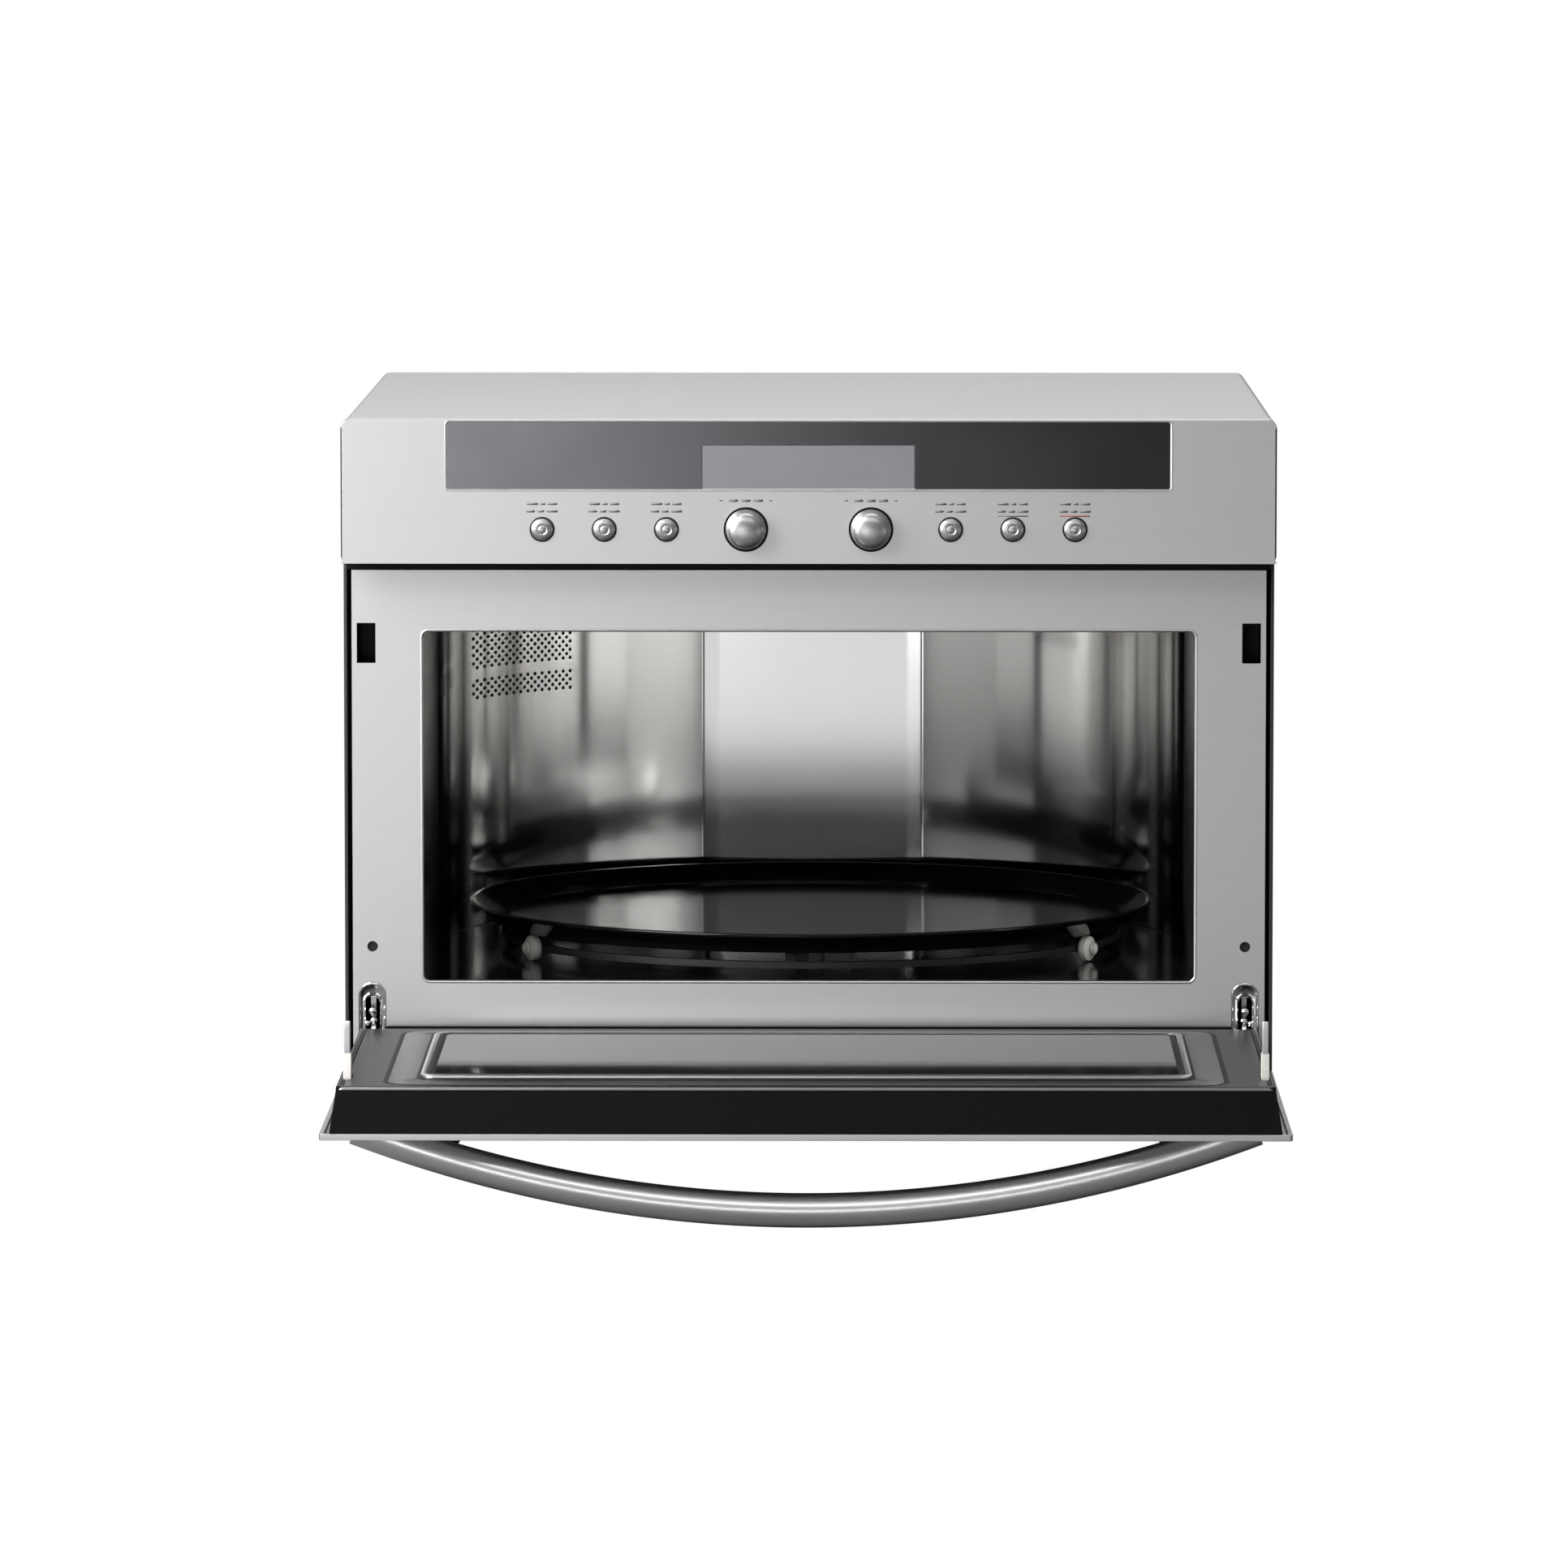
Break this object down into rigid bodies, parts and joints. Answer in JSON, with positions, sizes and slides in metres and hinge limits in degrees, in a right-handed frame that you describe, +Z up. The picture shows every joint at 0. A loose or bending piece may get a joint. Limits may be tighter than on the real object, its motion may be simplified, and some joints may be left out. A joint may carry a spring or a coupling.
{
  "type": "microwave oven",
  "caption": "Countertop microwave oven with a drop-down door, bow handle, knob and button fascia, and a round turntable in a round-backed steel cavity.",
  "frame": {"origin": "middle of the footprint of the oven with its door open, on the surface that it stands on", "axes": "+Z up, +X to the right of a person facing the oven, +Y from that person towards the back of the oven"},
  "size_m": [0.527, 0.7516, 0.428],
  "materials": {
    "stainless": "satin, fine horizontal grain",
    "cavity_steel": "polished",
    "inner_door_steel": "dark satin",
    "screen_steel": "perforated, dark",
    "chrome": "bright zinc",
    "control_chrome": "satin chrome",
    "zinc": "galvanised, matt",
    "black_body": "satin black",
    "display_glass": "glossy black",
    "display_film": "grey, smooth",
    "door_glass": "tinted",
    "enamel": "glossy black enamel",
    "black_plastic": "moulded",
    "pale_nylon": "moulded, pale",
    "mica": "mica sheet",
    "rubber": "matt",
    "board": "solder mask",
    "copper": "varnished windings"
  },
  "bodies": {
    "cabinet": {"wrap_cover": "stainless", "front_frame": "stainless", "control_fascia": "stainless", "cavity_ceiling": "cavity_steel", "cavity_side_left": "cavity_steel", "cavity_side_right": "cavity_steel", "cavity_rear_wall": "cavity_steel", "hinge_bracket_left": "chrome", "hinge_bracket_right": "chrome", "rear_panel": "zinc", "base_pan": "zinc", "magnetron": "zinc", "waveguide": "zinc", "hv_capacitor": "zinc", "fan_motor": "zinc", "turntable_motor": "zinc", "plinth": "black_body", "fascia_bracket": "black_body", "display_glass": "display_glass", "display_window": "display_film", "cavity_floor": "enamel", "cord_gland": "black_plastic", "fan_housing": "black_plastic", "latch_switch_left": "black_plastic", "latch_switch_right": "black_plastic", "cavity_lamp": "pale_nylon", "waveguide_cover": "mica", "foot_front_left": "rubber", "foot_front_right": "rubber", "foot_rear_left": "rubber", "foot_rear_right": "rubber", "control_board": "board", "hv_transformer": "copper"},
    "door": {"door_outer_panel": "stainless", "door_body": "black_body", "door_inner_panel": "inner_door_steel", "door_outer_glass": "door_glass", "door_inner_glass": "door_glass", "door_mesh_screen": "screen_steel", "handle": "stainless", "hinge_leaf_left": "chrome", "hinge_leaf_right": "chrome"},
    "latch_left": {"latch_hook_left": "pale_nylon"},
    "latch_right": {"latch_hook_right": "pale_nylon"},
    "turntable": {"turntable_coupler": "pale_nylon", "tray": "enamel"},
    "roller_support": {"roller_ring": "black_plastic"},
    "roller_1": {"roller_1": "pale_nylon"},
    "roller_2": {"roller_2": "pale_nylon"},
    "roller_3": {"roller_3": "pale_nylon"},
    "knob_left": {"knob_left": "control_chrome"},
    "knob_right": {"knob_right": "control_chrome"},
    "fan_rotor": {"fan_blade": "black_plastic"},
    "button_1": {"button_1": "control_chrome"},
    "button_2": {"button_2": "control_chrome"},
    "button_3": {"button_3": "control_chrome"},
    "button_4": {"button_4": "control_chrome"},
    "button_5": {"button_5": "control_chrome"},
    "button_6": {"button_6": "control_chrome"}
  },
  "joints": [
    {"name": "door_hinge", "type": "hinge", "parent": "cabinet", "child": "door", "pos_m": [0, -0.10485, 0.073], "axis": [-1, 0, 0], "range_deg": [0, 90]},
    {"name": "latch_left_tilt", "type": "hinge", "parent": "door", "child": "latch_left", "pos_m": [-0.25, -0.33185, 0.073], "axis": [1, 0, 0], "range_deg": [0, 5], "stiffness_Nm_per_rad": 0.2},
    {"name": "latch_right_tilt", "type": "hinge", "parent": "door", "child": "latch_right", "pos_m": [0.25, -0.33185, 0.073], "axis": [1, 0, 0], "range_deg": [0, 5], "stiffness_Nm_per_rad": 0.2},
    {"name": "turntable_spin", "type": "hinge", "parent": "cabinet", "child": "turntable", "pos_m": [0, 0.11985, 0.1199], "axis": [0, 0, 1], "continuous": true},
    {"name": "roller_ring_spin", "type": "hinge", "parent": "cabinet", "child": "roller_support", "pos_m": [0, 0.11985, 0.1122], "axis": [0, 0, 1], "continuous": true},
    {"name": "roller_1_spin", "type": "hinge", "parent": "roller_support", "child": "roller_1", "pos_m": [-0.16108, 0.02685, 0.1122], "axis": [-0.866, -0.5, 0], "continuous": true},
    {"name": "roller_2_spin", "type": "hinge", "parent": "roller_support", "child": "roller_2", "pos_m": [0.16108, 0.02685, 0.1122], "axis": [0.866, -0.5, 0], "continuous": true},
    {"name": "roller_3_spin", "type": "hinge", "parent": "roller_support", "child": "roller_3", "pos_m": [0, 0.30585, 0.1122], "axis": [0, 1, 0], "continuous": true},
    {"name": "knob_left_turn", "type": "hinge", "parent": "cabinet", "child": "knob_left", "pos_m": [-0.0352, -0.12515, 0.3664], "axis": [0, 1, 0], "continuous": true},
    {"name": "knob_right_turn", "type": "hinge", "parent": "cabinet", "child": "knob_right", "pos_m": [0.0352, -0.12515, 0.3664], "axis": [0, 1, 0], "continuous": true},
    {"name": "button_1_press", "type": "slide", "parent": "cabinet", "child": "button_1", "axis": [0, 1, 0], "range_m": [0, 0.0015], "stiffness_N_per_m": 400},
    {"name": "button_2_press", "type": "slide", "parent": "cabinet", "child": "button_2", "axis": [0, 1, 0], "range_m": [0, 0.0015], "stiffness_N_per_m": 400},
    {"name": "button_3_press", "type": "slide", "parent": "cabinet", "child": "button_3", "axis": [0, 1, 0], "range_m": [0, 0.0015], "stiffness_N_per_m": 400},
    {"name": "button_4_press", "type": "slide", "parent": "cabinet", "child": "button_4", "axis": [0, 1, 0], "range_m": [0, 0.0015], "stiffness_N_per_m": 400},
    {"name": "button_5_press", "type": "slide", "parent": "cabinet", "child": "button_5", "axis": [0, 1, 0], "range_m": [0, 0.0015], "stiffness_N_per_m": 400},
    {"name": "button_6_press", "type": "slide", "parent": "cabinet", "child": "button_6", "axis": [0, 1, 0], "range_m": [0, 0.0015], "stiffness_N_per_m": 400},
    {"name": "fan_spin", "type": "hinge", "parent": "cabinet", "child": "fan_rotor", "pos_m": [0.135, 0.35485, 0.3743], "axis": [0, 1, 0], "continuous": true}
  ],
  "couplings": [
    {"joint": "latch_right_tilt", "follows": "latch_left_tilt", "ratio": 1},
    {"joint": "roller_ring_spin", "follows": "turntable_spin", "ratio": 0.5},
    {"joint": "roller_1_spin", "follows": "turntable_spin", "ratio": -12.568},
    {"joint": "roller_2_spin", "follows": "turntable_spin", "ratio": -12.568},
    {"joint": "roller_3_spin", "follows": "turntable_spin", "ratio": -12.568}
  ]
}
